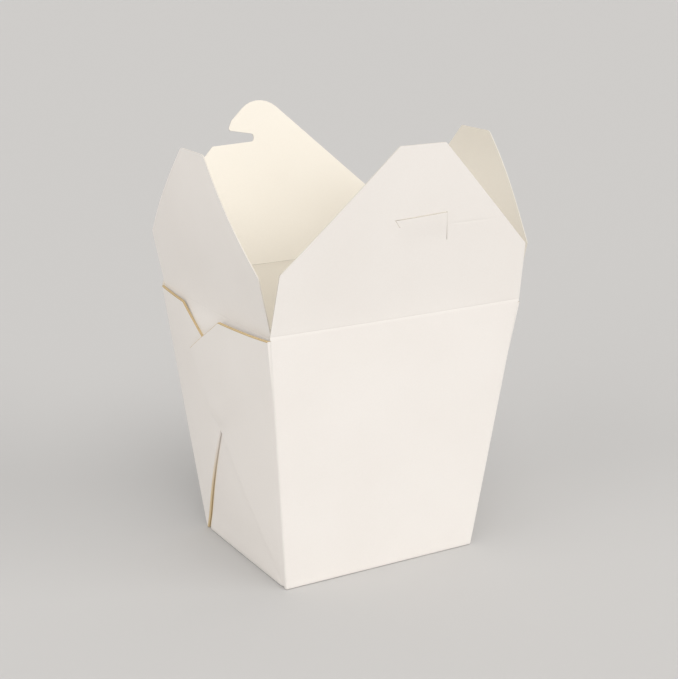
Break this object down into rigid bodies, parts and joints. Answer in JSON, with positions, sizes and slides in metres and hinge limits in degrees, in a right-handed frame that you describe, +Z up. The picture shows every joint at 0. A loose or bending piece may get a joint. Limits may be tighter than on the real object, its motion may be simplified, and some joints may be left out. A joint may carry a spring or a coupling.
{
  "type": "noodle takeaway box",
  "caption": "Tall open paperboard takeaway box with outward-leaning walls, folded corner webs, a hooked tab and slit, and hinged top flaps.",
  "frame": {"origin": "middle of the flat underside of the base", "axes": "+Z up; -Y out of the wide front wall, whose flap has the slit; +Y out of the wide back wall, whose flap has the hook; -X and +X out of the narrow walls"},
  "size_m": [0.1217, 0.122, 0.1661],
  "materials": {
    "white_board": "matte white board with a fine paper grain",
    "cream_board": "matte board seen from its creamier inner face"
  },
  "bodies": {
    "carton": {"carton": "white_board"},
    "front_flap": {"flap_front": "white_board"},
    "back_flap": {"flap_back": "cream_board"},
    "left_flap": {"flap_left": "white_board"},
    "right_flap": {"flap_right": "cream_board"}
  },
  "joints": [
    {"name": "front_crease", "type": "hinge", "parent": "carton", "child": "front_flap", "pos_m": [0, -0.04587, 0.1008], "axis": [1, 0, 0], "range_deg": [-102.3, 77.7]},
    {"name": "back_crease", "type": "hinge", "parent": "carton", "child": "back_flap", "pos_m": [0, 0.04607, 0.1025], "axis": [-1, 0, 0], "range_deg": [-104.8, 76]},
    {"name": "left_crease", "type": "hinge", "parent": "carton", "child": "left_flap", "pos_m": [-0.05075, 0, 0.0998], "axis": [0, -1, 0], "range_deg": [-106.2, 82.8]},
    {"name": "right_crease", "type": "hinge", "parent": "carton", "child": "right_flap", "pos_m": [0.05075, 0, 0.0998], "axis": [0, 1, 0], "range_deg": [-107.5, 78]}
  ]
}
